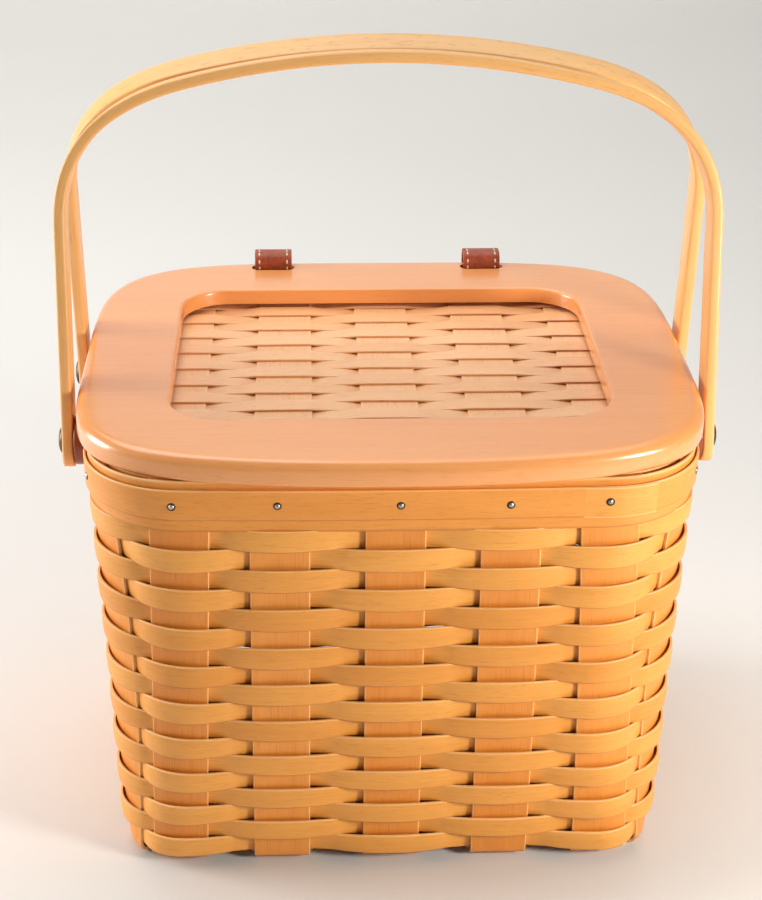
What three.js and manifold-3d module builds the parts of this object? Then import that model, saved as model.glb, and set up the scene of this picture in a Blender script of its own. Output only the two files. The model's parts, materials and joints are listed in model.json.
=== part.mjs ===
// Lidded splint basket with two swing handles. Millimetres, +Z up, +Y to the back.
import * as THREE from 'three';
import { mergeVertices } from 'three/addons/utils/BufferGeometryUtils.js';
import Module from 'manifold-3d';

const wasm = await Module();
wasm.setup();

// Splints: flat uprights (stakes) and the thinner strips woven round them
const stakeWidth = 25.4;
const stakeThickness = 1.6;
const weaverThickness = 1.4;
const clearance = 0.35;
const rowCount = 18;
const rowGap = 0.4;
const firstRowZ = 6.6;
const weaverCornerSteps = 1;
const bandCornerSteps = 3;

// Walls, measured to the middle of the stakes
const baseHalfWidth = 120;
const baseHalfDepth = 90.8;
const baseCornerRadius = 22;
const endWallCurve = 2.4;
const sideWallCurve = 1.9;
const middleCornerRadius = 43;
const sideFlare = 8.3;
const endFlare = 17;
const rimCornerRadius = 37;
const cornerStraddle = 0.67;
const twistStart = 0.08;
// Stake middles, as shares of the half width or half depth that they stand along
const frontSharesAtBase = [-0.8042, -0.4142, 0, 0.4142, 0.8042];
const frontSharesAtRim = [-0.6976, -0.3757, 0, 0.3757, 0.6976];
const sideSharesAtBase = [-0.7874, -0.3937, 0, 0.3937, 0.7874];
const sideSharesAtRim = [-0.7653, -0.3826, 0, 0.3826, 0.7653];
const bendHeight = 3.6;
const bendRun = 4.5;
const fillerGap = 3;
const fillerEndGap = 2.5;

// Rim hoops
const bandThickness = 1.2;
const bandHeight = 21;
const trimHeight = 14;
const trimDrop = 1.7;
const trimGap = 0.45;

// Lid
const lidTop = 216;
const lidThickness = 13;
const lidSideOverhang = 5.7;
const lidEndOverhang = 7.7;
const lidSquareness = 4;
const lidRoundOver = 5;
const lidLowerEase = 1;
const openingWidth = 192;
const openingDepth = 155;
const openingRadius = 23;
const openingEase = 1.2;
const recessCornerRadius = 2;
const recessSlack = 0.9;
const cornerPoints = 8;
const lidSeat = 0.3;
const panelStakePitch = 46.9;
const panelStakeCount = 5;
const panelRowCount = 18;
const panelRowPitch = 9.55;
const panelRowGap = 0.6;
const panelLift = 0.3;
const panelBite = 0.1;

// Leather hinges
const leatherThickness = 1.8;
const loopWidth = 18.5;
const loopSpacing = 105.6;
const loopRise = 7;
const loopTopRadius = 4.5;
const slotLength = 21.6;
const slotFrontRoom = 2.5;
const lidStripWidth = 5.5;
const hingeGap = 0.3;

// Swing handles
const handleWidth = 17;
const handleThickness = 5;
const handleEase = 1;
const handleReach = 167.2;
const handleTail = 3.5;
const handleBow = 11;
const handleCornerRun = 54;
const handleCornerDrop = 70;
const pivotSpread = 39;
const pivotBelowLid = 25.5;
const handleMeetingGap = 0.4;
const archSteps = 6;

// Pivot rivets and the wooden discs behind the handles
const spacerRadius = 11;
const spacerThickness = 6.5;
const shankRadius = 2.4;
const shankClearance = 0.1;
const rivetHeadRadius = 6;
const rivetHeadHeight = 1.8;
const rivetTailRadius = 5;
const rivetTailHeight = 1.2;
const roundSteps = 10;
const boreSteps = 8;

// Sizes and places that follow from those above
const rimHalfWidth = baseHalfWidth + sideFlare;
const rimHalfDepth = baseHalfDepth + endFlare;
const lidBottom = lidTop - lidThickness;
const rimTop = lidBottom - lidSeat;
const bandBottom = rimTop - bandHeight;
const trimTop = rimTop - trimDrop;
const trimBottom = trimTop - trimHeight;
const rowPitch = (bandBottom - firstRowZ) / rowCount;
const weaveOffset = (stakeThickness + weaverThickness) / 2 + clearance;
const bandOffset = (stakeThickness + bandThickness) / 2 + clearance;
const trimOffset = bandOffset + bandThickness + trimGap;
const trimFace = trimOffset + bandThickness / 2;
const lowerLayer = stakeThickness / 2;
const upperLayer = lowerLayer + stakeThickness + clearance;

const stakePlaces = (shares, half) => shares.map((share) => share * half);
const frontStakesAtBase = stakePlaces(frontSharesAtBase, baseHalfWidth);
const frontStakesAtRim = stakePlaces(frontSharesAtRim, rimHalfWidth);
const sideStakesAtBase = stakePlaces(sideSharesAtBase, baseHalfDepth);
const sideStakesAtRim = stakePlaces(sideSharesAtRim, rimHalfDepth);

// The lid stands out past the rim
const lidWidth = 2 * (rimHalfWidth + trimFace + lidSideOverhang);
const lidDepth = 2 * (rimHalfDepth + trimFace + lidEndOverhang);

// The lid's rear edge is bowed; the leather loops hold the strip behind their slots
const lidHalfDepth = Math.max(...softOutline(lidWidth, lidDepth, 0, 0).map((point) => point.y));
const rearEdgeAt = (x) =>
  (lidDepth / 2) * (1 - Math.abs((2 * x) / lidWidth) ** lidSquareness) ** (1 / lidSquareness);
const stripBack = rearEdgeAt((loopSpacing - loopWidth) / 2);
const stripFront = stripBack - lidStripWidth;
const loopFront = stripFront - clearance - leatherThickness;
const loopBack = stripBack + clearance + leatherThickness;
const lidCentreY = (lidHalfDepth - loopBack) / 2;
const rearFace = lidCentreY + loopFront - hingeGap - leatherThickness - clearance;
const basketCentreY = rearFace - rimHalfDepth - trimFace;
const pivotZ = lidTop - pivotBelowLid;
const boreRadius = shankRadius + shankClearance;

const material = (color, roughness, metalness = 0) =>
  new THREE.MeshStandardMaterial({ color, roughness, metalness });
const stakeWood = material(0xd9924a, 0.55);
const weaverWood = material(0xdfa158, 0.5);
const bandWood = material(0xdda45c, 0.5);
const lidWood = material(0xdb9566, 0.4);
const handleWood = material(0xe6b878, 0.45);
const spacerWood = material(0xc87a45, 0.5);
const leather = material(0x7a3a22, 0.6);
const rivetMetal = material(0x3a3430, 0.4, 0.8);

const part = new THREE.Group();
const basket = new THREE.Group();
basket.position.y = basketCentreY;
const lid = new THREE.Group();
lid.position.set(0, lidCentreY, lidBottom);
part.add(basket, lid);

function addPiece(group, name, geometry, finish) {
  const mesh = new THREE.Mesh(geometry, finish);
  mesh.name = name;
  group.add(mesh);
  return mesh;
}

const mix = THREE.MathUtils.lerp;

// Joins cross-sections of equal count into one closed solid; a loop of sections closes on itself
function loft(sections, isLoop) {
  const count = sections[0].length;
  const points = sections.flat();
  const faces = [];
  const spans = isLoop ? sections.length : sections.length - 1;
  for (let span = 0; span < spans; span++) {
    const here = span * count;
    const next = ((span + 1) % sections.length) * count;
    for (let k = 0; k < count; k++) {
      const l = (k + 1) % count;
      faces.push(here + k, next + k, next + l, here + k, next + l, here + l);
    }
  }
  if (!isLoop) {
    const last = points.length - count;
    for (let k = 1; k < count - 1; k++) {
      faces.push(0, k, k + 1, last, last + k + 1, last + k);
    }
  }
  if (signedVolume(points, faces) < 0) faces.reverse();
  const geometry = new THREE.BufferGeometry().setFromPoints(points);
  geometry.setIndex(faces);
  geometry.computeVertexNormals();
  return geometry;
}

function signedVolume(points, faces) {
  let sum = 0;
  for (let k = 0; k < faces.length; k += 3) {
    const [a, b, c] = [0, 1, 2].map((i) => points[faces[k + i]]);
    sum += a.dot(b.clone().cross(c));
  }
  return sum;
}

function toSolid(geometry) {
  const bare = geometry.clone();
  bare.deleteAttribute('normal');
  bare.deleteAttribute('uv');
  const merged = mergeVertices(bare, 1e-4);
  return new wasm.Manifold(new wasm.Mesh({
    numProp: 3,
    vertProperties: merged.attributes.position.array,
    triVerts: new Uint32Array(merged.index.array),
  }));
}

function toGeometry(solid) {
  const mesh = solid.getMesh();
  const geometry = new THREE.BufferGeometry();
  geometry.setAttribute('position', new THREE.BufferAttribute(mesh.vertProperties, 3));
  geometry.setIndex(new THREE.BufferAttribute(mesh.triVerts, 1));
  geometry.computeVertexNormals();
  return geometry;
}

const cut = (geometry, tools) =>
  toGeometry(tools.reduce((solid, tool) => solid.subtract(toSolid(tool)), toSolid(geometry)));
const join = (pieces) =>
  toGeometry(pieces.slice(1).reduce((solid, piece) => solid.add(toSolid(piece)), toSolid(pieces[0])));

// A bar along X, for drilling; its flats lie at the radius
function boreAlongX(radius, fromX, toX, y, z) {
  const across = radius / Math.cos(Math.PI / boreSteps);
  const bar = new THREE.CylinderGeometry(across, across, toX - fromX, boreSteps);
  bar.rotateZ(Math.PI / 2);
  bar.translate((fromX + toX) / 2, y, z);
  return bar;
}

// A size that is given at the base, half way up and at the rim
const throughThree = (low, middle, high, t) =>
  low * (1 - t) * (1 - 2 * t) + 4 * middle * t * (1 - t) + high * t * (2 * t - 1);

// Wall outline at a height: a rounded rectangle, flaring from the base and upright at the rim
function wallAt(z) {
  const t = z / rimTop;
  const flare = 1 - (1 - t) ** endWallCurve;
  return {
    t,
    flare,
    halfWidth: mix(baseHalfWidth, rimHalfWidth, 1 - (1 - t) ** sideWallCurve),
    halfDepth: mix(baseHalfDepth, rimHalfDepth, flare),
    radius: throughThree(baseCornerRadius, middleCornerRadius, rimCornerRadius, t),
  };
}

// How far the rounded corner sets a point back from a straight wall of half length `half`
function cornerSetBack(along, half, radius) {
  const past = Math.max(Math.abs(along) - (half - radius), 0);
  return radius - Math.sqrt(radius * radius - Math.min(past, radius) ** 2);
}

// The ends of the stakes, in order round the basket seen from above: front, right, back, left
const stakeEnds = [
  ...frontStakesAtBase.map((base, k) => ({ side: 0, base, rim: frontStakesAtRim[k] })),
  ...sideStakesAtBase.map((base, k) => ({ side: 1, base, rim: sideStakesAtRim[k] })),
  ...frontStakesAtBase.map((base, k) => ({ side: 2, base, rim: frontStakesAtRim[k] })),
  ...sideStakesAtBase.map((base, k) => ({ side: 3, base, rim: sideStakesAtRim[k] })),
];

// A stake end at a height: its place along its wall, the wall's distance, and the chord its width makes
function chordAt({ side, base, rim }, z) {
  const wall = wallAt(z);
  const isFront = side % 2 === 0;
  const half = isFront ? wall.halfWidth : wall.halfDepth;
  const out = isFront ? wall.halfDepth : wall.halfWidth;
  const along = mix(base, rim, isFront ? wall.t : wall.flare);
  const [first, middle, last] = [-1, 0, 1].map((edge) =>
    cornerSetBack(along + (edge * stakeWidth) / 2, half, wall.radius));
  const setBack = mix((first + last) / 2, middle, cornerStraddle);
  return { along, out, setBack, turn: Math.atan2(last - first, stakeWidth) };
}

// Middle, travel direction and outward normal of a stake end; its twist is spread evenly over its height
function wallFrame(end, z) {
  const { side } = end;
  const { along, out, setBack } = chordAt(end, z);
  const turn = mix(chordAt(end, twistStart * rimTop).turn, chordAt(end, rimTop).turn, z / rimTop);
  const quarter = new THREE.Quaternion().setFromAxisAngle(
    new THREE.Vector3(0, 0, 1), (side * Math.PI) / 2);
  const middle = new THREE.Vector3(along, setBack - out, z).applyQuaternion(quarter);
  const travel = new THREE.Vector3(Math.cos(turn), Math.sin(turn), 0).applyQuaternion(quarter);
  const outward = new THREE.Vector3(Math.sin(turn), -Math.cos(turn), 0).applyQuaternion(quarter);
  return { middle, travel, outward };
}

// A stake is straight between these levels, and what lies on it follows the same straight stretches
const wallFoot = upperLayer + bendHeight;
const stakeTop = rimTop - clearance;
const stakeLevels = [0, 0.16, 0.45, 0.72, 1].map((share) => mix(wallFoot, stakeTop, share));

function stakeFrame(end, z) {
  const found = stakeLevels.findIndex((level, k) => k > 0 && z <= level);
  const upper = found < 0 ? stakeLevels.length - 1 : found;
  const low = wallFrame(end, stakeLevels[upper - 1]);
  const high = wallFrame(end, stakeLevels[upper]);
  const share = (z - stakeLevels[upper - 1]) / (stakeLevels[upper] - stakeLevels[upper - 1]);
  return {
    middle: low.middle.lerp(high.middle, share),
    travel: low.travel.lerp(high.travel, share),
    outward: low.outward.lerp(high.outward, share),
  };
}

const offsetBy = (point, direction, distance) => point.clone().addScaledVector(direction, distance);

// Where the tangent lines of two stations cross, seen from above
function tangentCrossing(a, b) {
  const gap = b.middle.clone().sub(a.middle);
  const turn = a.travel.x * b.travel.y - a.travel.y * b.travel.x;
  const run = (gap.x * b.travel.y - gap.y * b.travel.x) / turn;
  return offsetBy(a.middle, a.travel, run);
}

// Stations of a strip that runs round the basket at one height; `offsets` holds one value per stake end
function stationsRound(z, offsets, cornerSteps) {
  const stations = [];
  const reach = stakeWidth / 2 + clearance;
  const edges = stakeEnds.map((end, k) => {
    const frame = stakeFrame(end, z);
    const onFace = offsetBy(frame.middle, frame.outward, offsets[k]);
    const at = (distance) => ({ ...frame, middle: offsetBy(onFace, frame.travel, distance) });
    return { side: end.side, first: at(-reach), last: at(reach) };
  });
  edges.forEach((edge, k) => {
    const next = edges[(k + 1) % edges.length];
    stations.push(edge.first, edge.last);
    if (next.side === edge.side) return;
    const corner = tangentCrossing(edge.last, next.first);
    const curve = new THREE.QuadraticBezierCurve3(edge.last.middle, corner, next.first.middle);
    for (let step = 1; step < cornerSteps; step++) {
      const travel = curve.getTangent(step / cornerSteps);
      const outward = new THREE.Vector3(travel.y, -travel.x, 0);
      stations.push({ middle: curve.getPoint(step / cornerSteps), travel, outward });
    }
  });
  return stations;
}

function hoop(lowZ, highZ, offsets, thickness, cornerSteps) {
  const low = stationsRound(lowZ, offsets, cornerSteps);
  const high = stationsRound(highZ, offsets, cornerSteps);
  const sections = low.map((station, k) => [
    offsetBy(station.middle, station.outward, thickness / 2),
    offsetBy(high[k].middle, high[k].outward, thickness / 2),
    offsetBy(high[k].middle, high[k].outward, -thickness / 2),
    offsetBy(station.middle, station.outward, -thickness / 2),
  ]);
  return loft(sections, true);
}

// A flat strip through stations of middle, width direction and face normal
function strip(stations, width) {
  const sections = stations.map(({ middle, across, normal }) => {
    const outer = offsetBy(middle, normal, stakeThickness / 2);
    const inner = offsetBy(middle, normal, -stakeThickness / 2);
    return [
      offsetBy(outer, across, -width / 2), offsetBy(outer, across, width / 2),
      offsetBy(inner, across, width / 2), offsetBy(inner, across, -width / 2),
    ];
  });
  return loft(sections, false);
}

// The base is a plain weave: stakes with narrower fillers between them, both ways
function withFillers(places) {
  const strips = [];
  places.forEach((place, k) => {
    strips.push({ place, width: stakeWidth, isStake: true, stake: k });
    if (k === places.length - 1) return;
    const gap = places[k + 1] - place - stakeWidth;
    strips.push({ place: place + (gap + stakeWidth) / 2, width: gap - 2 * fillerGap, isStake: false });
  });
  return strips;
}
const lengthwise = withFillers(frontStakesAtBase);
const crosswise = withFillers(sideStakesAtBase);

// Stations of one base strip over and under the strips it crosses; `turned` strips run along X
function baseStations(own, index, crossed, turned) {
  const across = turned ? new THREE.Vector3(0, 1, 0) : new THREE.Vector3(1, 0, 0);
  const normal = new THREE.Vector3(0, 0, -1);
  const at = (run, z) => ({
    middle: turned ? new THREE.Vector3(run, own.place, z) : new THREE.Vector3(own.place, run, z),
    across,
    normal,
  });
  const stations = [];
  crossed.forEach((other, k) => {
    const isOdd = (index + k) % 2 === 1;
    const z = isOdd !== turned ? lowerLayer : upperLayer;
    const reach = other.width / 2 + clearance;
    stations.push(at(other.place - reach, z), at(other.place + reach, z));
  });
  return { stations, at };
}

// One end of a stake: the bend at the base's edge, then up the wall to the rim
function wallStations(end, fromZ) {
  const rising = stakeLevels.map((z) => {
    const frame = stakeFrame(end, z);
    return { middle: frame.middle, across: frame.travel, normal: frame.outward };
  });
  const foot = rising[0];
  const down = new THREE.Vector3(0, 0, -1);
  const flat = {
    middle: offsetBy(foot.middle, foot.normal, -bendRun).setZ(fromZ),
    across: foot.across,
    normal: down,
  };
  const bend = {
    middle: offsetBy(foot.middle, foot.normal, -bendRun * 0.25).setZ(mix(fromZ, wallFoot, 0.25)),
    across: foot.across,
    normal: foot.normal.clone().add(down).normalize(),
  };
  return [flat, bend, ...rising];
}

const backwards = (stations) =>
  stations.map((s) => ({ ...s, across: s.across.clone().negate() })).reverse();

// Front and left ends are entered from the rim downwards, back and right ends are left upwards
const stakeWithEnds = (startEnd, endEnd, base, startZ, endZ) => {
  const start = wallStations(startEnd, startZ);
  const finish = wallStations(endEnd, endZ);
  const facing = base[0].across;
  const same = (list) => list.map((s) => ({
    ...s,
    across: s.across.dot(facing) < 0 ? s.across.clone().negate() : s.across,
  }));
  return strip([...same(backwards(start)), ...base, ...same(finish)], stakeWidth);
};

// The handle legs stand off the rim by the thickness of the discs behind them
const bandFaceAt = (z) => wallAt(z).halfWidth + trimFace;
const spacerInner = bandFaceAt(pivotZ) + clearance;
const spacerOuter = spacerInner + spacerThickness;
const handleHalfSpan = spacerOuter + clearance + handleThickness / 2;

// Holes for the handle rivets, through the rim hoops and the cross stakes behind them
const pivotPlaces = [[-1, -1], [1, -1], [-1, 1], [1, 1]];
const rivetHoles = pivotPlaces.map(([sideX, sideY]) => {
  const from = sideX < 0 ? -handleHalfSpan : 0;
  const to = sideX < 0 ? 0 : handleHalfSpan;
  return boreAlongX(boreRadius, from, to, sideY * pivotSpread, pivotZ);
});

const endOf = (side, index) => stakeEnds.filter((end) => end.side === side)[index];

lengthwise.forEach((own, index) => {
  const { stations, at } = baseStations(own, index, crosswise, false);
  if (own.isStake) {
    const startZ = stations[0].middle.z;
    const endZ = stations[stations.length - 1].middle.z;
    const back = frontStakesAtBase.length - 1 - own.stake;
    const geometry = stakeWithEnds(endOf(0, own.stake), endOf(2, back), stations, startZ, endZ);
    addPiece(basket, `long_stake_${own.stake + 1}`, geometry, stakeWood);
    return;
  }
  const reach = baseHalfDepth - bendRun - fillerEndGap;
  stations[0] = at(-reach, stations[0].middle.z);
  stations[stations.length - 1] = at(reach, stations[stations.length - 1].middle.z);
  addPiece(basket, `long_filler_${(index + 1) / 2}`, strip(stations, own.width), stakeWood);
});

crosswise.forEach((own, index) => {
  const { stations, at } = baseStations(own, index, lengthwise, true);
  if (own.isStake) {
    const startZ = stations[0].middle.z;
    const endZ = stations[stations.length - 1].middle.z;
    const left = sideStakesAtBase.length - 1 - own.stake;
    const geometry = stakeWithEnds(endOf(3, left), endOf(1, own.stake), stations, startZ, endZ);
    addPiece(basket, `cross_stake_${own.stake + 1}`, cut(geometry, rivetHoles), stakeWood);
    return;
  }
  const reach = baseHalfWidth - bendRun - fillerEndGap;
  stations[0] = at(-reach, stations[0].middle.z);
  stations[stations.length - 1] = at(reach, stations[stations.length - 1].middle.z);
  addPiece(basket, `cross_filler_${(index + 1) / 2}`, strip(stations, own.width), stakeWood);
});

// Weavers: closed hoops, counted from the rim down, alternately outside and inside the stakes
for (let row = 1; row <= rowCount; row++) {
  const lowZ = firstRowZ + (rowCount - row) * rowPitch;
  const offsets = stakeEnds.map((end, k) => ((row + k) % 2 === 0 ? weaveOffset : -weaveOffset));
  const geometry = hoop(lowZ, lowZ + rowPitch - rowGap, offsets, weaverThickness, weaverCornerSteps);
  addPiece(basket, `weaver_${String(row).padStart(2, '0')}`, geometry, weaverWood);
}

// Rim hoops
const everywhere = (offset) => stakeEnds.map(() => offset);
const rimHoop = (lowZ, highZ, offset) =>
  cut(hoop(lowZ, highZ, everywhere(offset), bandThickness, bandCornerSteps), rivetHoles);
addPiece(basket, 'inner_band', rimHoop(bandBottom, rimTop, -bandOffset), bandWood);
addPiece(basket, 'outer_band', rimHoop(bandBottom, rimTop, bandOffset), bandWood);
addPiece(basket, 'trim_band', rimHoop(trimBottom, trimTop, trimOffset), bandWood);

// Handle discs: flat on the leg's side, sloped to the leaning band on the other
const spacerBore = boreRadius / Math.cos(Math.PI / roundSteps);

function spacer(sideX, y) {
  const ring = new THREE.Shape().absarc(0, 0, spacerRadius, 0, Math.PI * 2);
  ring.holes.push(new THREE.Path().absarc(0, 0, spacerBore, 0, Math.PI * 2, true));
  const settings = { depth: spacerThickness, bevelEnabled: false, curveSegments: roundSteps / 2 };
  const disc = new THREE.ExtrudeGeometry(ring, settings);
  disc.rotateY(Math.PI / 2);
  const place = disc.getAttribute('position');
  for (let k = 0; k < place.count; k++) {
    const z = pivotZ + place.getZ(k);
    const isInner = place.getX(k) < spacerThickness / 2;
    place.setX(k, isInner ? bandFaceAt(Math.min(z, trimTop)) + clearance : spacerOuter);
  }
  if (sideX < 0) disc.rotateZ(Math.PI);
  disc.translate(0, y, pivotZ);
  return disc;
}

// Rivet turned about its own axis: domed head outside the leg, flat tail inside the rim
const headFace = handleHalfSpan + handleThickness / 2 + clearance;
const tailFace = wallAt(trimBottom).halfWidth - bandOffset - bandThickness / 2 - clearance;

function rivet(sideX, y) {
  const profile = [
    new THREE.Vector2(0, tailFace - rivetTailHeight),
    new THREE.Vector2(rivetTailRadius, tailFace - rivetTailHeight),
    new THREE.Vector2(rivetTailRadius, tailFace),
    new THREE.Vector2(shankRadius, tailFace),
    new THREE.Vector2(shankRadius, headFace),
    new THREE.Vector2(rivetHeadRadius, headFace),
    new THREE.Vector2(rivetHeadRadius * 0.7, headFace + rivetHeadHeight * 0.8),
    new THREE.Vector2(0, headFace + rivetHeadHeight),
  ];
  const body = new THREE.LatheGeometry(profile, roundSteps);
  body.rotateZ((-sideX * Math.PI) / 2);
  body.translate(0, y, pivotZ);
  return body;
}

pivotPlaces.forEach(([sideX, sideY]) => {
  const where = `${sideY < 0 ? 'front' : 'back'}_${sideX < 0 ? 'left' : 'right'}`;
  addPiece(basket, `spacer_${where}`, spacer(sideX, sideY * pivotSpread), spacerWood);
  addPiece(basket, `rivet_${where}`, rivet(sideX, sideY * pivotSpread), rivetMetal);
});

// Handles: a bent strip with eased edges and round ends, leaning in until the two tops meet
const meetingOffset = (lean) =>
  (handleWidth / 2) * Math.cos(lean) + (handleThickness / 2) * Math.sin(lean) + handleMeetingGap / 2;
let handleLean = 0;
for (let pass = 0; pass < 8; pass++) {
  handleLean = Math.asin((pivotSpread - meetingOffset(handleLean)) / handleReach);
}

function handleGeometry() {
  const shoulder = handleHalfSpan - handleCornerRun;
  const slope = (2 * handleBow) / shoulder;
  const shoulderZ = handleReach - handleBow;
  const cornerZ = shoulderZ - slope * handleCornerRun;
  const legTop = handleReach - handleCornerDrop;
  const arch = new THREE.Path();
  arch.moveTo(-handleHalfSpan, legTop);
  arch.quadraticCurveTo(-handleHalfSpan, cornerZ, -shoulder, shoulderZ);
  arch.quadraticCurveTo(0, handleReach + handleBow, shoulder, shoulderZ);
  arch.quadraticCurveTo(handleHalfSpan, cornerZ, handleHalfSpan, legTop);
  const curve = arch.getPoints(archSteps);
  const endRadius = handleWidth / 2;
  const ends = [0.985, 0.86, 0.5, 0].map((share) => ({
    drop: -handleTail - share * endRadius,
    half: Math.sqrt(1 - share * share) * endRadius,
  }));
  const leftLeg = ends.map(({ drop, half }) => ({ x: -handleHalfSpan, z: drop, half }));
  const rightLeg = ends.map(({ drop, half }) => ({ x: handleHalfSpan, z: drop, half })).reverse();
  const path = [...leftLeg, ...curve.map((p) => ({ x: p.x, z: p.y, half: endRadius })), ...rightLeg];
  const sections = path.map((here, k) => {
    const before = path[Math.max(k - 1, 0)];
    const after = path[Math.min(k + 1, path.length - 1)];
    const along = new THREE.Vector3(after.x - before.x, 0, after.z - before.z).normalize();
    const outward = new THREE.Vector3(-along.z, 0, along.x);
    const ease = Math.min(handleEase, here.half / 2);
    const corner = (across, out) => offsetBy(new THREE.Vector3(here.x, across, here.z), outward, out);
    const thick = handleThickness / 2;
    return [
      corner(-here.half + ease, thick), corner(here.half - ease, thick),
      corner(here.half, thick - ease), corner(here.half, ease - thick),
      corner(here.half - ease, -thick), corner(ease - here.half, -thick),
      corner(-here.half, ease - thick), corner(-here.half, thick - ease),
    ];
  });
  const boreEnd = handleHalfSpan + handleThickness;
  return cut(loft(sections, false), [boreAlongX(boreRadius, -boreEnd, boreEnd, 0, 0)]);
}

const bentStrip = handleGeometry();
[['front_handle', -1], ['back_handle', 1]].forEach(([name, sideY]) => {
  const handle = addPiece(basket, name, bentStrip, handleWood);
  handle.position.set(0, sideY * pivotSpread, pivotZ);
  handle.rotation.x = sideY * handleLean;
});

// Closed outline with bowed sides and soft corners, drawn in by `inset`
function softOutline(width, depth, inset, z) {
  const soft = (value) => Math.sign(value) * Math.abs(value) ** (2 / lidSquareness);
  return Array.from({ length: cornerPoints * 4 }, (_, k) => {
    const angle = ((k + 0.5) / (cornerPoints * 4)) * Math.PI * 2 - Math.PI / 2;
    const x = (width / 2 - inset) * soft(Math.cos(angle));
    const y = (depth / 2 - inset) * soft(Math.sin(angle));
    return new THREE.Vector3(x, y, z);
  });
}

// Closed outline of a rounded rectangle, drawn in by `inset`
function roundedOutline(width, depth, radius, inset, z) {
  const round = Math.max(radius - inset, recessCornerRadius);
  const x = width / 2 - inset - round;
  const y = depth / 2 - inset - round;
  const points = [];
  [[x, -y, -0.5], [x, y, 0], [-x, y, 0.5], [-x, -y, 1]].forEach(([cx, cy, quarter]) => {
    for (let step = 0; step < cornerPoints; step++) {
      const angle = (quarter + (0.5 * step) / (cornerPoints - 1)) * Math.PI;
      points.push(new THREE.Vector3(cx + round * Math.cos(angle), cy + round * Math.sin(angle), z));
    }
  });
  return points;
}

// Lid frame: round-over on top, eased opening, a recess underneath that takes the woven panel
const panelWidth = (panelStakeCount - 1) * panelStakePitch + stakeWidth;
const panelDepth = panelRowCount * panelRowPitch;
const panelThickness = stakeThickness + 2 * (weaverThickness + clearance);
const recessDepth = panelLift + panelThickness + clearance;
const recessWidth = panelWidth + 2 * recessSlack;
const recessLength = panelDepth + 2 * recessSlack;

function lidFrameGeometry() {
  const outer = (inset, z) => softOutline(lidWidth, lidDepth, inset, z);
  const opening = (inset, z) => roundedOutline(openingWidth, openingDepth, openingRadius, inset, z);
  const recess = (z) => roundedOutline(recessWidth, recessLength, recessCornerRadius, 0, z);
  const rounded = [0, 45, 90].map((degrees) => {
    const angle = THREE.MathUtils.degToRad(degrees);
    return outer(
      lidRoundOver * (1 - Math.cos(angle)),
      lidThickness - lidRoundOver * (1 - Math.sin(angle)));
  });
  const loops = [
    outer(lidLowerEase, 0), outer(0, lidLowerEase), ...rounded,
    opening(-openingEase, lidThickness), opening(0, lidThickness - openingEase), opening(0, recessDepth),
    recess(recessDepth), recess(0),
  ];
  const sections = loops[0].map((point, k) => loops.map((loop) => loop[k]));
  return loft(sections, true);
}

// The slots take the front leg of each leather loop
const slotFront = loopFront - slotFrontRoom;
const slotWidth = stripFront - slotFront;

function slotCutter(centreX) {
  const round = slotWidth / 2;
  const half = slotLength / 2 - round;
  const outline = new THREE.Shape();
  outline.absarc(half, 0, round, -Math.PI / 2, Math.PI / 2);
  outline.absarc(-half, 0, round, Math.PI / 2, (Math.PI * 3) / 2);
  const depth = lidThickness * 2;
  const cutter = new THREE.ExtrudeGeometry(outline, { depth, bevelEnabled: false, curveSegments: 6 });
  cutter.translate(centreX, (slotFront + stripFront) / 2, -lidThickness / 2);
  return cutter;
}

const loopSides = [['left', -loopSpacing / 2], ['right', loopSpacing / 2]];
const slots = loopSides.map(([, x]) => slotCutter(x));
addPiece(lid, 'lid_frame', cut(lidFrameGeometry(), slots), lidWood);

// Woven panel: flat stakes with strips woven through them, glued together along its edges
function lidPanelGeometry() {
  const middle = panelLift + panelThickness / 2;
  const stakes = [];
  const fromMiddle = (k, count) => k - (count - 1) / 2;
  const places = Array.from({ length: panelStakeCount },
    (_, k) => fromMiddle(k, panelStakeCount) * panelStakePitch);
  places.forEach((x) => {
    const stake = new THREE.BoxGeometry(stakeWidth, panelDepth, stakeThickness);
    stake.translate(x, 0, middle);
    stakes.push(stake);
  });
  const glued = (stakeThickness + weaverThickness) / 2 - panelBite;
  const isEdge = (k, count) => k === 0 || k === count - 1;
  const rows = Array.from({ length: panelRowCount }, (_, row) => {
    const y = fromMiddle(row, panelRowCount) * panelRowPitch;
    const half = (panelRowPitch - panelRowGap) / 2;
    const sections = [];
    places.forEach((x, k) => {
      const isGlued = isEdge(row, panelRowCount) || isEdge(k, panelStakeCount);
      const rise = isGlued ? glued : weaveOffset;
      const z = middle + ((row + k) % 2 === 0 ? rise : -rise);
      const top = z + weaverThickness / 2;
      const bottom = z - weaverThickness / 2;
      [-1, 1].forEach((edge) => {
        const isEnd = edge * fromMiddle(k, panelStakeCount) === (panelStakeCount - 1) / 2;
        const at = x + edge * (stakeWidth / 2 + (isEnd ? 0 : clearance));
        sections.push([
          new THREE.Vector3(at, y - half, bottom), new THREE.Vector3(at, y + half, bottom),
          new THREE.Vector3(at, y + half, top), new THREE.Vector3(at, y - half, top),
        ]);
      });
    });
    return loft(sections, false);
  });
  return join([...stakes, ...rows]);
}
addPiece(lid, 'lid_panel', lidPanelGeometry(), weaverWood);

// Leather: a loop round the strip behind each slot, and a tab that holds it to the rim
const loopBottom = -clearance - leatherThickness;
const loopTop = lidThickness + loopRise;

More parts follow.
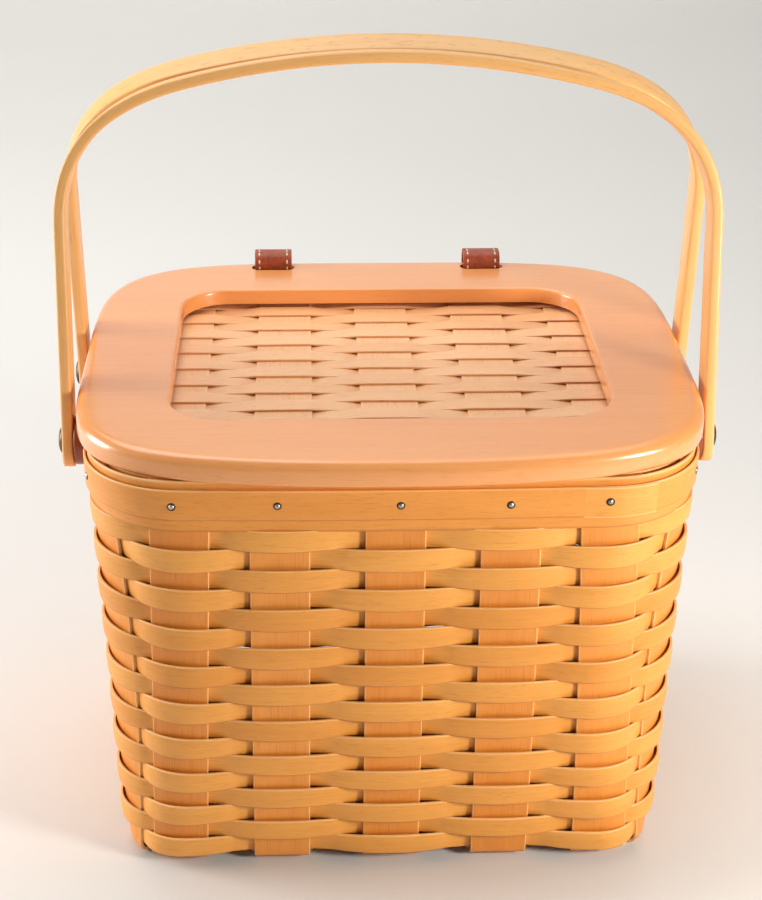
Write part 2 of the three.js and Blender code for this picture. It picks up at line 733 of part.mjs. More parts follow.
function archOutline(kind, inset) {
  const front = loopFront + inset;
  const back = loopBack - inset;
  const bottom = loopBottom + inset;
  const top = loopTop - inset;
  const round = Math.max(loopTopRadius - inset, leatherThickness / 2);
  const outline = new kind();
  outline.moveTo(front, bottom);
  outline.lineTo(back, bottom);
  outline.absarc(back - round, top - round, round, 0, Math.PI / 2);
  outline.absarc(front + round, top - round, round, Math.PI / 2, Math.PI);
  outline.closePath();
  return outline;
}

// Turns a profile drawn in (y, z) and extruded into a piece that runs along X about `centreX`
function alongX(shape, width, centreX) {
  const solid = new THREE.ExtrudeGeometry(shape, { depth: width, bevelEnabled: false, curveSegments: 4 });
  solid.applyMatrix4(new THREE.Matrix4().makeBasis(
    new THREE.Vector3(0, 1, 0), new THREE.Vector3(0, 0, 1), new THREE.Vector3(1, 0, 0)));
  solid.translate(centreX - width / 2, 0, 0);
  return solid;
}

const tabTop = lidBottom + loopBottom - clearance;
const rimFaceAt = (z) => wallAt(z).halfDepth + trimFace;

loopSides.forEach(([side, x]) => {
  const outline = archOutline(THREE.Shape, 0);
  outline.holes.push(archOutline(THREE.Path, leatherThickness));
  addPiece(lid, `hinge_loop_${side}`, alongX(outline, loopWidth, x), leather);

  const tab = new THREE.Shape();
  const foot = rimFaceAt(trimBottom) + clearance;
  const head = rimFaceAt(tabTop) + clearance;
  tab.moveTo(foot, trimBottom);
  tab.lineTo(foot + leatherThickness, trimBottom);
  tab.lineTo(head + leatherThickness, tabTop);
  tab.lineTo(head, tabTop);
  tab.closePath();
  addPiece(basket, `hinge_tab_${side}`, alongX(tab, loopWidth, x), leather);
});

export default part;
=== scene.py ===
import json
import math

import bmesh
import bpy
from mathutils import Matrix, Vector, noise

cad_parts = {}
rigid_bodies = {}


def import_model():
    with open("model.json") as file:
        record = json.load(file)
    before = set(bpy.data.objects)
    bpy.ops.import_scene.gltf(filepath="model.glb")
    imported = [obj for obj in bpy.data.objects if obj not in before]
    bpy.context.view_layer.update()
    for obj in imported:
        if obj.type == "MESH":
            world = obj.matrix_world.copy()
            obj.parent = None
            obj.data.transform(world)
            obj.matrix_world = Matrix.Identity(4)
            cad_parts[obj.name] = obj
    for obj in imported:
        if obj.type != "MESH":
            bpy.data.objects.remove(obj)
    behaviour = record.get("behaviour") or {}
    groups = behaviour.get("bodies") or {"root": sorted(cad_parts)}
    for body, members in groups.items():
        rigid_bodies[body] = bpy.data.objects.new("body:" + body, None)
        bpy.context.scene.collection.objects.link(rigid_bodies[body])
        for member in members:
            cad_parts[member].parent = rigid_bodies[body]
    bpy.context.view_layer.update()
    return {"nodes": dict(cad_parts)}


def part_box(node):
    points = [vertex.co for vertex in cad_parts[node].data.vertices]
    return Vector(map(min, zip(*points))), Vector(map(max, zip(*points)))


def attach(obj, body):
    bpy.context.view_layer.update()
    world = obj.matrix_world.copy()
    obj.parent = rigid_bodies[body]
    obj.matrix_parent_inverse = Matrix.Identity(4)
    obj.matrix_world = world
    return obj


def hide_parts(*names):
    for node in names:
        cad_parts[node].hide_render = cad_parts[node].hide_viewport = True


for old in list(bpy.data.objects):
    bpy.data.objects.remove(old)
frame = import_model()
print("frame loaded,", len(frame["nodes"]), "nodes")

mm = 0.001
up = Vector((0, 0, 1))

# camera, fitted to the stakes and the lid
cameraSet = {
    "place": (-0.037145, -0.86981, 0.56999),
    "pan": -2.3229,
    "tilt": 65.0,
    "roll": 0.4538,
    "lens": 81.65,
}
cameraData = bpy.data.cameras.new("photoCamera")
cameraData.lens = cameraSet["lens"]
cameraData.sensor_fit = "AUTO"
cameraData.sensor_width = 36
camera = bpy.data.objects.new("photoCamera", cameraData)
bpy.context.scene.collection.objects.link(camera)
pan, tilt, roll = (math.radians(cameraSet[name]) for name in ("pan", "tilt", "roll"))
turned = Matrix.Rotation(pan, 4, "Z") @ Matrix.Rotation(tilt, 4, "X") @ Matrix.Rotation(roll, 4, "Z")
camera.matrix_world = Matrix.Translation(cameraSet["place"]) @ turned
bpy.context.scene.camera = camera
bpy.context.scene.view_settings.view_transform = "Standard"
print("camera set")


def lerp(a, b, t):
    return a + (b - a) * t


def smoothStep(t):
    return t * t * (3 - 2 * t)


def wobble(a, b, c=0.0):  # repeatable unevenness, about -0.5 to 0.5
    return noise.noise(Vector((a * 1.37 + 0.31, b * 2.11 + 0.17, c * 1.73 + 0.53)))


def tint(red, green, blue):  # a colour as a picture editor shows it
    def straighten(level):
        share = level / 255
        return share / 12.92 if share <= 0.04045 else ((share + 0.055) / 1.055) ** 2.4

    return (straighten(red), straighten(green), straighten(blue), 1.0)


# materials

class Tap:
    def __init__(self, recipe, socket):
        self.recipe = recipe
        self.socket = socket

    def maths(self, operation, first, second):
        return self.recipe.node("ShaderNodeMath", {"operation": operation}, {0: first, 1: second})

    def __add__(self, other):
        return self.maths("ADD", self, other)

    def __radd__(self, other):
        return self.maths("ADD", other, self)

    def __sub__(self, other):
        return self.maths("SUBTRACT", self, other)

    def __rsub__(self, other):
        return self.maths("SUBTRACT", other, self)

    def __mul__(self, other):
        return self.maths("MULTIPLY", self, other)

    def __rmul__(self, other):
        return self.maths("MULTIPLY", other, self)


class Recipe:
    def __init__(self, name):
        self.material = bpy.data.materials.new(name)
        self.material.use_nodes = True
        self.tree = self.material.node_tree
        self.tree.nodes.clear()
        self.out = self.tree.nodes.new("ShaderNodeOutputMaterial")

    def node(self, kind, settings=None, inputs=None, output=0):
        made = self.tree.nodes.new(kind)
        for name, value in (settings or {}).items():
            if name == "stops":
                for stop, (place, colour) in zip(made.color_ramp.elements, value):
                    stop.position = place
                    stop.color = colour
            else:
                setattr(made, name, value)
        for name, value in (inputs or {}).items():
            if isinstance(value, Tap):
                self.tree.links.new(value.socket, made.inputs[name])
            else:
                made.inputs[name].default_value = value
        return Tap(self, made.outputs[output])

    def stretch(self, vector, scale, place=(0, 0, 0)):
        return self.node("ShaderNodeMapping", {}, {"Vector": vector, "Scale": scale, "Location": place})

    def speckle(self, vector, detail=2.0, roughness=0.5, scale=1.0):
        inputs = {"Vector": vector, "Scale": scale, "Detail": detail, "Roughness": roughness}
        return self.node("ShaderNodeTexNoise", {}, inputs)

    def ramp(self, value, low, high):
        stops = [(low, (0, 0, 0, 1)), (high, (1, 1, 1, 1))]
        return self.node("ShaderNodeValToRGB", {"stops": stops}, {0: value})

    def blend(self, factor, first, second):
        settings = {"data_type": "RGBA", "blend_type": "MIX"}
        return self.node("ShaderNodeMix", settings, {0: factor, 6: first, 7: second}, 2)

    def finish(self, inputs):
        surface = self.node("ShaderNodeBsdfPrincipled", {}, inputs)
        self.tree.links.new(surface.socket, self.out.inputs["Surface"])
        return self.material


def woodFinish(name, look):
    recipe = Recipe(name)
    if look["onUv"]:
        grain = recipe.node("ShaderNodeUVMap", {"uv_map": "grain"})
        tone = recipe.node("ShaderNodeAttribute", {"attribute_name": "tone"}, {}, "Fac")
        edge = recipe.node("ShaderNodeAttribute", {"attribute_name": "edge"}, {}, "Fac")
    else:
        grain = recipe.node("ShaderNodeTexCoord", {}, {}, "Object")
    along, across = look["streak"]
    streak = recipe.speckle(recipe.stretch(grain, (along, across, across)), 4.0, 0.62)
    slowAlong, slowAcross = look["cloud"]
    cloud = recipe.speckle(recipe.stretch(grain, (slowAlong, slowAcross, slowAcross)), 2.0)
    poreAlong, poreAcross = look["pore"]
    pore = recipe.speckle(recipe.stretch(grain, (poreAlong, poreAcross, poreAcross), (3.1, 1.7, 0.4)), 1.0)
    fleck = recipe.ramp(pore, 0.60, 0.72)
    depth = streak * look["streakShare"] + cloud * look["cloudShare"] + look["base"]
    if look["onUv"]:
        depth = depth + tone * look["toneShare"]
    colour = recipe.blend(recipe.ramp(depth, 0.0, 1.0), look["pale"], look["deep"])
    colour = recipe.blend(fleck * look["fleckShare"], colour, look["fleck"])
    if look["onUv"]:
        # the pale cut edges are partly real wear and partly painted highlight; the edges below get painted
        # shade in the fleck colour
        upperWearAndHighlight = recipe.ramp(edge, look["edgeWearAndPaintedLightFrom"], 1.0) * look["edgeWearAndPaintedLight"]
        lowerPaintedShade = recipe.ramp(edge * -1.0, look["edgeWearAndPaintedLightFrom"], 1.0) * look["edgeWearAndPaintedLight"]
        colour = recipe.blend(upperWearAndHighlight, colour, look["wornAndHighlight"])
        colour = recipe.blend(lowerPaintedShade, colour, look["fleck"])
    height = streak * 0.7 - fleck * 0.5
    relief = {"Strength": look["bump"], "Distance": 0.0003, "Height": height}
    bump = recipe.node("ShaderNodeBump", {}, relief)
    return recipe.finish({
        "Base Color": colour,
        "Roughness": streak * 0.16 + look["rough"],
        "Normal": bump,
        "Coat Weight": look["coat"],
        "Coat Roughness": look["coatRough"],
    })


splintLook = {
    "onUv": True,
    "streak": (22.0, 1500.0),
    "cloud": (10.0, 90.0),
    "pore": (190.0, 3400.0),
    "streakShare": 0.75,
    "cloudShare": 0.65,
    "toneShare": 0.55,
    "base": -0.22,
    "fleckShare": 0.34,
    # the next two set the strength and start of the edge marks: wear with painted highlight above, painted
    # shade below
    "edgeWearAndPaintedLight": 0.85,
    "edgeWearAndPaintedLightFrom": 0.88,
    "bump": 0.35,
    "rough": 0.36,
    "coat": 0.12,
    "coatRough": 0.25,
    "pale": tint(244, 171, 79),
    "deep": tint(222, 141, 48),
    # the fleck colour is also the painted shade along the lower edges
    "fleck": tint(172, 98, 38),
    # pale edge colour: real wear with painted highlight
    "wornAndHighlight": tint(255, 208, 142),
}
stakeLook = {
    **splintLook,
    "toneShare": 0.4,
    "edgeWearAndPaintedLightFrom": 0.95,
    "pale": tint(242, 160, 70),
    "deep": tint(222, 132, 42),
}
# the panel is the same splint wood, painted paler: painted sheen of the light from above
panelSheenLook = {
    **splintLook,
    "edgeWearAndPaintedLight": 0.5,
    "coat": 0.6,
    "pale": tint(253, 200, 146),
    "deep": tint(240, 176, 116),
}
bandLook = {
    **splintLook,
    "edgeWearAndPaintedLight": 0.7,
    "pale": tint(245, 168, 78),
    "deep": tint(225, 141, 51),
}
handleLook = {
    **splintLook,
    "streak": (14.0, 1100.0),
    "pore": (140.0, 2600.0),
    "pale": tint(252, 200, 128),
    "deep": tint(240, 177, 104),
    "fleck": tint(196, 130, 66),
    "edgeWearAndPaintedLight": 0.3,
    "coat": 0.25,
}
lidLook = {
    **splintLook,
    "onUv": False,
    "streak": (9.0, 520.0),
    "cloud": (5.0, 34.0),
    "pore": (90.0, 1500.0),
    "streakShare": 0.6,
    "cloudShare": 0.5,
    "base": -0.1,
    "fleckShare": 0.16,
    "bump": 0.12,
    "rough": 0.24,
    "coat": 0.95,
    "coatRough": 0.2,
    "pale": tint(243, 166, 98),
    "deep": tint(229, 145, 76),
    "fleck": tint(180, 96, 44),
}
spacerLook = {
    **lidLook,
    "streak": (120.0, 420.0),
    "cloud": (30.0, 60.0),
    "coat": 0.15,
    "pale": tint(158, 74, 30),
    "deep": tint(120, 48, 18),
    "fleck": tint(92, 36, 14),
}

stakeWood = woodFinish("stakeWood", stakeLook)
weaverWood = woodFinish("weaverWood", splintLook)
# the paler panel copy of the splint wood carries painted sheen
panelSheenWood = woodFinish("panelSheenWood", panelSheenLook)
bandWood = woodFinish("bandWood", bandLook)
handleWood = woodFinish("handleWood", handleLook)
lidWood = woodFinish("lidWood", lidLook)
spacerWood = woodFinish("spacerWood", spacerLook)


leatherLook = {
    "cells": 1500.0,
    "mottle": 260.0,
    "pale": tint(184, 82, 43),
    "deep": tint(126, 53, 27),
    "crease": tint(88, 34, 18),
}
threadLook = {
    "twist": 2400.0,
    "pale": tint(236, 226, 206),
    "deep": tint(196, 178, 150),
}


def leatherFinish(look):
    recipe = Recipe("strapLeather")
    place = recipe.node("ShaderNodeTexCoord", {}, {}, "Object")
    cells = recipe.node("ShaderNodeTexVoronoi", {"feature": "F1"}, {"Vector": place, "Scale": look["cells"]})
    mottle = recipe.speckle(place, 4.0, 0.6, look["mottle"])
    colour = recipe.blend(recipe.ramp(mottle, 0.3, 0.75), look["pale"], look["deep"])
    colour = recipe.blend(recipe.ramp(cells, 0.35, 0.7) * 0.3, colour, look["crease"])
    height = mottle * 0.4 - cells * 0.6
    bump = recipe.node("ShaderNodeBump", {}, {"Strength": 0.35, "Distance": 0.0003, "Height": height})
    return recipe.finish({
        "Base Color": colour,
        "Roughness": mottle * 0.25 + 0.34,
        "Normal": bump,
    })


def threadFinish(look):
    recipe = Recipe("strapThread")
    place = recipe.node("ShaderNodeTexCoord", {}, {}, "Object")
    twist = recipe.speckle(place, 2.0, 0.5, look["twist"])
    colour = recipe.blend(twist, look["pale"], look["deep"])
    return recipe.finish({"Base Color": colour, "Roughness": twist * 0.2 + 0.6})


def metalFinish(name, light, dark, rough):
    recipe = Recipe(name)
    place = recipe.node("ShaderNodeTexCoord", {}, {}, "Object")
    tarnish = recipe.speckle(place, 4.0, 0.6, 420.0)
    colour = recipe.blend(recipe.ramp(tarnish, 0.35, 0.7), light, dark)
    bump = recipe.node("ShaderNodeBump", {}, {"Strength": 0.2, "Distance": 0.0002, "Height": tarnish})
    return recipe.finish({
        "Base Color": colour,
        "Metallic": 1.0,
        "Roughness": tarnish * 0.3 + rough,
        "Normal": bump,
    })


strapLeather = leatherFinish(leatherLook)
strapThread = threadFinish(threadLook)
rivetMetal = metalFinish("rivetMetal", tint(110, 92, 78), tint(60, 48, 40), 0.28)
tackMetal = metalFinish("tackMetal", tint(214, 206, 194), tint(150, 140, 128), 0.25)
print("materials made")


# pieces: one place that makes an object from a bmesh and hangs it on its body

def keepPiece(bm, name, body, finish, nodes=()):
    mesh = bpy.data.meshes.new(name)
    bm.to_mesh(mesh)
    bm.free()
    mesh.materials.append(finish)
    mesh.shade_smooth()
    piece = bpy.data.objects.new(name, mesh)
    bpy.context.scene.collection.objects.link(piece)
    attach(piece, body)
    if nodes:
        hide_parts(*nodes)
    return piece


def thicken(piece, thickness, ease, segments=2):  # gives a sheet its thickness and eased edges
    shell = piece.modifiers.new("thickness", "SOLIDIFY")
    shell.thickness = thickness * mm
    shell.offset = 0
    shell.use_even_offset = True
    edge = piece.modifiers.new("easedEdges", "BEVEL")
    edge.width = ease * mm
    edge.segments = segments
    edge.limit_method = "ANGLE"
    edge.angle_limit = math.radians(50)
    edge.profile = 0.5
    edge.harden_normals = True


def stripSheet(columns, rows, place, length, width, seed, closed=False, paintShadeBelow=True):
    # a sheet of columns by rows: place gives each point in mm, the grain runs along the columns;
    # the last row gets the pale cut edge with painted highlight, and the first gets painted shade below, or,
    # when that is turned off, the pale edge too
    bm = bmesh.new()
    bmesh.ops.create_grid(bm, x_segments=columns, y_segments=rows, size=1.0)
    grain = bm.loops.layers.uv.new("grain")
    tone = bm.verts.layers.float.new("tone")
    edge = bm.verts.layers.float.new("edge")
    shade = wobble(seed * 7.3, seed * 3.1)
    for vert in bm.verts:
        i = round((vert.co.x + 1) / 2 * columns)
        j = round((vert.co.y + 1) / 2 * rows)
        for loop in vert.link_loops:
            u = i / columns * length * mm + seed * 0.37
            v = (j / rows - 0.5) * width * mm + seed * 0.053
            loop[grain].uv = (u, v)
        vert[tone] = shade
        vert[edge] = 2 * j / rows - 1 if paintShadeBelow else abs(2 * j / rows - 1)
        vert.co = place(i, j) * mm
    if closed:
        bmesh.ops.remove_doubles(bm, verts=bm.verts, dist=1e-6)
    return bm


# walls: a rounded rectangle that grows with the height, with a slightly bowed front
wall = {
    "baseHalfWidth": 120.0,
    "baseHalfDepth": 90.8,
    "rimHalfWidth": 128.3,
    "rimHalfDepth": 107.8,
    "corners": (22.0, 43.0, 37.0),  # corner radius at the base, half way up and at the rim
    "sideCurve": 1.9,
    "endCurve": 2.4,
    "rimTop": 202.7,
    "centreY": -3.7677,
    "stakeWidth": 25.4,
    "frontStakes": ((0, 0, 0), (49.7, 49, 48.2), (96.5, 93, 89.5)),  # places at base, half way and rim
    "sideStakes": ((0, 0, 0), (35.8, 41.5, 41), (71.5, 83, 82)),
    "steps": 18,
    "firstEnd": 12,  # strips close behind the basket
    "frontBow": 3.3,
}


def mirrored(half):  # the stakes of one half, with their mirror images before them
    return [tuple(-place for place in places) for places in half[:0:-1]] + list(half)


# ends 0 to 4 stand at the front, and the rest follow at the right, the back and the left
frontPlaces, sidePlaces = mirrored(wall["frontStakes"]), mirrored(wall["sideStakes"])
stakeEnds = [(side, places) for side in range(4) for places in (sidePlaces if side % 2 else frontPlaces)]
endOrder = [(wall["firstEnd"] + k) % len(stakeEnds) for k in range(len(stakeEnds))]


def throughThree(sizes, t):  # a size that is given at the base, half way up and at the rim
    low, middle, high = sizes
    return low * (1 - t) * (1 - 2 * t) + 4 * middle * t * (1 - t) + high * t * (2 * t - 1)


def wallAt(z):  # half width, half depth and corner radius at a height
    t = min(z / wall["rimTop"], 1)
    halfWidth = lerp(wall["baseHalfWidth"], wall["rimHalfWidth"], 1 - (1 - t) ** wall["sideCurve"])
    halfDepth = lerp(wall["baseHalfDepth"], wall["rimHalfDepth"], 1 - (1 - t) ** wall["endCurve"])
    return halfWidth, halfDepth, throughThree(wall["corners"], t)


def quarterRun(z):  # the way round from the middle of one side to the middle of the next
    halfWidth, halfDepth, radius = wallAt(z)
    return halfWidth + halfDepth - 2 * radius + math.pi / 2 * radius


def wallSpot(z, run):  # point and outward direction at a height, a run along from the middle of the front
    halfWidth, halfDepth, radius = wallAt(z)
    quarter = quarterRun(z)
    side = math.floor(run / quarter)
    gone = run - side * quarter
    half, out = (halfWidth, halfDepth) if side % 2 == 0 else (halfDepth, halfWidth)
    straight = half - radius
    angle = min(max((gone - straight) / radius, 0), math.pi / 2)
    x = min(gone, straight) + radius * math.sin(angle)
    y = radius - out - radius * math.cos(angle) + max(gone - straight - math.pi / 2 * radius, 0)
    turn = Matrix.Rotation(side * math.pi / 2, 3, "Z")
    spot = turn @ Vector((x, y, z))
    outward = turn @ Vector((math.sin(angle), -math.cos(angle), 0))
    if spot.y < 0:  # the front is slightly bowed, most at the rim
        bow = wall["frontBow"] * min(z / wall["rimTop"], 1) ** 2
        spot.y -= bow * max(1 - (spot.x / halfWidth) ** 2, 0)
        outward.x -= outward.y * 2 * bow * spot.x / halfWidth ** 2
        outward.normalize()
    return spot + Vector((0, wall["centreY"], 0)), outward


def stakeRun(k, z):  # the run at which the middle of a stake end stands
    side, places = stakeEnds[k]
    halfWidth, halfDepth, radius = wallAt(z)
    straight = (halfWidth if side % 2 == 0 else halfDepth) - radius
    along = throughThree(places, min(z / wall["rimTop"], 1))
    past = abs(along) - straight
    if past > 0:
        along = math.copysign(straight + radius * math.asin(min(past / radius, 1)), along)
    return side * quarterRun(z) + along


def wallPath(z):  # points and outward directions round the basket at a height
    found = []
    for k in endOrder:
        after = (k + 1) % len(stakeEnds)
        start, stop = stakeRun(k, z), stakeRun(after, z)
        if stop < start:
            stop += 4 * quarterRun(z)
        for step in range(wall["steps"]):
            found.append(wallSpot(z, lerp(start, stop, step / wall["steps"])))
    return found


phases = [(k, step / wall["steps"]) for k in endOrder for step in range(wall["steps"])]
pathSteps = len(phases)


def pathLength(path):
    return sum((a[0] - b[0]).length for a, b in zip(path, path[1:]))


def between(lowPath, highPath, i, share):  # part of the way up from one path to another
    (lowSpot, lowOut), (highSpot, highOut) = lowPath[i % pathSteps], highPath[i % pathSteps]
    return lowSpot.lerp(highSpot, share), lowOut.lerp(highOut, share)


# weavers
weavers = {
    "rows": 18,
    "firstZ": 6.6,
    "pitch": 9.7278,
    "gap": 0.4,
    "thickness": 1.2,
    "sway": 2.75,  # how far the strip swings out over a stake
    "flatness": 0.8,  # under 1, the swing stays longer at its full height
    "narrow": 4.8,  # half height where it passes between two stakes
    "swell": 0.6,  # what it gains over a stake
    "cup": 0.3,
    "drift": 0.6,  # uneven heights over the stakes
    "unevenSway": 0.12,
    "reach": 7.0,  # the wall is followed this far above and below the middle
    "grainWidth": 12.4,
    "across": 4,
    "ease": 0.22,
}


def weaverSheet(row):
    centre = weavers["firstZ"] + (weavers["rows"] - row) * weavers["pitch"]
    centre += (weavers["pitch"] - weavers["gap"]) / 2
    low, high = centre - weavers["reach"], centre + weavers["reach"]
    lowPath, highPath = wallPath(low), wallPath(high)

    def place(i, j):
        k, f = phases[i % pathSteps]
        wave = math.cos(math.pi * f)
        way = 1 if (row + k) % 2 == 0 else -1
        swing = math.copysign(abs(wave) ** weavers["flatness"], wave) * way
        t = 2 * j / weavers["across"] - 1
        half = weavers["narrow"] + weavers["swell"] * abs(swing)
        if row == 1 and t > 0:  # the top row doesn't swell up against the rim
            half = weavers["narrow"]
        near = k if f < 0.5 else (k + 1) % len(stakeEnds)
        uneven = wobble(row * 3.7, near + 0.5)
        z = centre + t * half + weavers["drift"] * uneven * abs(swing)
        middle, outward = between(lowPath, highPath, i, (z - low) / (high - low))
        out = weavers["sway"] * swing * (1 + weavers["unevenSway"] * uneven) + weavers["cup"] * (1 - t * t)
        return middle + outward * out

    length = pathLength(lowPath)
    return stripSheet(pathSteps, weavers["across"], place, length, weavers["grainWidth"], row, True)


for row in range(1, weavers["rows"] + 1):
    name, node = f"wovenStrip{row:02d}", f"weaver_{row:02d}"
    piece = keepPiece(weaverSheet(row), name, "basket", weaverWood, [node])
    thicken(piece, weavers["thickness"], weavers["ease"])
print("weavers woven")


# stakes and the fillers of the base
stakes = {
    "thickness": 1.6,
    "foot": 6.35,
    "top": 204.2,
    "rise": 24,
    "bendRun": 4.5,
    "bendSteps": 6,
    "lower": 0.8,
    "upper": 2.75,
    "fillerGap": 3.0,
    "fillerEndGap": 2.5,
    "crossGap": 0.35,
    "across": 6,
    "ease": 0.35,
    "crossSteps": 5,
}


def spread(width):  # distances from the middle of a strip to the points across it
    return [width * (j / stakes["across"] - 0.5) for j in range(stakes["across"] + 1)]


def stakeRise(k, layer, sign):  # one end of a stake, from the base to the rim, in rows of points
    found = []
    reach = [sign * d for d in spread(wall["stakeWidth"])]
    feet = [wallSpot(stakes["foot"], stakeRun(k, stakes["foot"]) + d) for d in reach]
    for step in range(stakes["bendSteps"]):
        t = step / stakes["bendSteps"]
        row = []
        for foot, outward in feet:
            start = foot - outward * stakes["bendRun"]
            start.z = layer
            bend = Vector((foot.x, foot.y, layer))
            row.append(start * (1 - t) ** 2 + bend * (2 * t * (1 - t)) + foot * t * t)
        found.append(row)
    for step in range(stakes["rise"] + 1):
        z = lerp(stakes["foot"], stakes["top"], step / stakes["rise"])
        found.append([wallSpot(z, stakeRun(k, z) + d)[0] for d in reach])
    return found


def withFillers(places):
    found = []
    for k, place in enumerate(places):
        found.append((place, wall["stakeWidth"], k))
        if k + 1 < len(places):
            gap = places[k + 1] - place - wall["stakeWidth"]
            found.append((place + (gap + wall["stakeWidth"]) / 2, gap - 2 * stakes["fillerGap"], None))
    return found


lengthwise = withFillers([places[0] for places in frontPlaces])
crosswise = withFillers([places[0] for places in sidePlaces])


def baseRun(index, crossed, turned):  # run and height of a base strip over and under what it crosses
    plateaus = []
    for k, (place, width, _) in enumerate(crossed):
        isLower = ((index + k) % 2 == 1) != turned
        z = stakes["lower"] if isLower else stakes["upper"]
        half = width / 2 + stakes["crossGap"]
        plateaus += [(place - half, z), (place + half, z)]
    found = [plateaus[0]]
    for (runA, zA), (runB, zB) in zip(plateaus, plateaus[1:]):
        for step in range(1, stakes["crossSteps"] + 1):
            t = step / stakes["crossSteps"]
            found.append((lerp(runA, runB, t), lerp(zA, zB, smoothStep(t))))
    return found


def ribbon(rows, width, make, look, body="basket"):
    # a strip through rows of points across it
    # make holds its thickness, ease and seed; look holds its name, slot (not used), finish and nodes
    length = sum((b[0] - a[0]).length for a, b in zip(rows, rows[1:]))
    thickness, ease, seed = make
    name, slotName, finish, nodes = look
    columns, across = len(rows) - 1, len(rows[0]) - 1
    bm = stripSheet(columns, across, lambda i, j: rows[i][j], length, width, seed, paintShadeBelow=False)
    piece = keepPiece(bm, name, body, finish, nodes)
    thicken(piece, thickness, ease)


def baseStrip(strips, index, crossed, turned, names, reach):
    place, width, stake = strips[index]
    run = baseRun(index, crossed, turned)

    def at(along, z):
        if turned:
            return [Vector((along, place + wall["centreY"] - d, z)) for d in spread(width)]
        return [Vector((place + d, along + wall["centreY"], z)) for d in spread(width)]

    if stake is None:
        run[0] = (-reach, run[0][1])
        run[-1] = (reach, run[-1][1])
        rows = [at(*spot) for spot in run]
        name, node = f"{names[1]}{(index + 1) // 2}", f"{names[3]}_{(index + 1) // 2}"
    else:
        start, stop = (19 - stake, 5 + stake) if turned else (stake, 14 - stake)
        rising = stakeRise(start, run[0][1], 1)
        leaving = stakeRise(stop, run[-1][1], -1)
        rows = rising[::-1] + [at(*spot) for spot in run] + leaving
        name, node = f"{names[0]}{stake + 1}", f"{names[2]}_{stake + 1}"
    make = (stakes["thickness"], stakes["ease"], index + (40 if turned else 20))
    ribbon(rows, width, make, (name, "stake_wood", stakeWood, [node]))


for index in range(len(lengthwise)):
    reach = wall["baseHalfDepth"] - stakes["bendRun"] - stakes["fillerEndGap"]
    names = ("longUpright", "longFiller", "long_stake", "long_filler")
    baseStrip(lengthwise, index, crosswise, False, names, reach)
for index in range(len(crosswise)):
    reach = wall["baseHalfWidth"] - stakes["bendRun"] - stakes["fillerEndGap"]
    names = ("crossUpright", "crossFiller", "cross_stake", "cross_filler")
    baseStrip(crosswise, index, lengthwise, True, names, reach)
print("stakes and base woven")


# rim hoops
rim = {
    "thickness": 1.2,
    "top": 204.5,
    "bottom": 181.0,
    "trimTop": 201.0,
    "trimBottom": 187.0,
    "offset": 1.75,
    "trimOffset": 3.4,
    "ease": 0.45,
    "across": 2,
    "lap": (77.5, 107.5),  # run of the trim's outer end, round the right front corner
    "lapThickness": 0.8,
    "lapRise": (0.15, 0.95),  # from the trim, where it starts and where it is whole
    "lapDrop": (0.2, 0.1),  # below the trim's lower and upper edge
    "lapEase": 0.3,
    "lapSteps": 24,
}


def rimHoop(name, node, low, high, offset, seed):
    lowPath, highPath = wallPath(low), wallPath(high)

    def place(i, j):
        middle, outward = between(lowPath, highPath, i, j / rim["across"])
        return middle + outward * offset

    bm = stripSheet(pathSteps, rim["across"], place, pathLength(lowPath), high - low, seed, True)
    piece = keepPiece(bm, name, "basket", bandWood, [node])
    thicken(piece, rim["thickness"], rim["ease"], 3)


def trimLap():  # the trim's end lies on the trim, shaved thin where it starts
    rows = []
    for step in range(rim["lapSteps"] + 1):
        share = step / rim["lapSteps"]
        out = rim["trimOffset"] + lerp(*rim["lapRise"], min(3 * share, 1))
        row = []
        for j in range(rim["across"] + 1):
            t = j / rim["across"]
            z = lerp(rim["trimBottom"], rim["trimTop"], t) - lerp(*rim["lapDrop"], t)
            spot, outward = wallSpot(z, lerp(*rim["lap"], share))
            row.append(spot + outward * out)
        rows.append(row)
    make = (rim["lapThickness"], rim["lapEase"], 64)
    ribbon(rows, rim["trimTop"] - rim["trimBottom"], make, ("trimLap", "band_wood", bandWood, []))


rimHoop("innerHoop", "inner_band", rim["bottom"], rim["top"], -rim["offset"], 61)
rimHoop("outerHoop", "outer_band", rim["bottom"], rim["top"], rim["offset"], 62)
rimHoop("trimHoop", "trim_band", rim["trimBottom"], rim["trimTop"], rim["trimOffset"], 63)
trimLap()

tacks = {
    "height": 193.9,
    "front": (-92.3, -49.0, 1.8, 47.3, 88.5),
    # the wide flat dark dome under each head is painted shade round the tack
    "shadeRing": (1.85, 0.35),  # radius and height
    "head": (1.2, 0.7),
    "strayUp": 0.9,
    "strayAlong": 3.0,
    "onLap": 4,  # the stake end whose tack goes through the lap
    "sides": 16,
}


def tackDomes(radius, height):
    bm = bmesh.new()
    face = rim["trimOffset"] + rim["thickness"] / 2
    for k, (side, _) in enumerate(stakeEnds):
        z = tacks["height"] + tacks["strayUp"] * wobble(k * 2.3, 5.0)
        stray = tacks["strayAlong"] * wobble(k * 1.9, 8.0)
        run = tacks["front"][k] if side == 0 else stakeRun(k, z) + stray
        spot, outward = wallSpot(z, run)
        spot = spot + outward * (face + (rim["lapThickness"] if k == tacks["onLap"] else 0))
        domeSet = {"u_segments": tacks["sides"], "v_segments": 8, "radius": radius * mm}
        dome = bmesh.ops.create_uvsphere(bm, **domeSet)["verts"]
        flat = Matrix.Scale(height / radius, 4, up)
        aim = outward.to_track_quat("Z", "Y").to_matrix().to_4x4()
        bmesh.ops.transform(bm, matrix=Matrix.Translation(spot * mm) @ aim @ flat, verts=dome)
    return bm


# a wider, flat dark dome under each tack head: painted shade round the head
keepPiece(tackDomes(*tacks["shadeRing"]), "tackShadeRings", "basket", rivetMetal)
keepPiece(tackDomes(*tacks["head"]), "tackHeads", "basket", tackMetal)
print("rim bound")


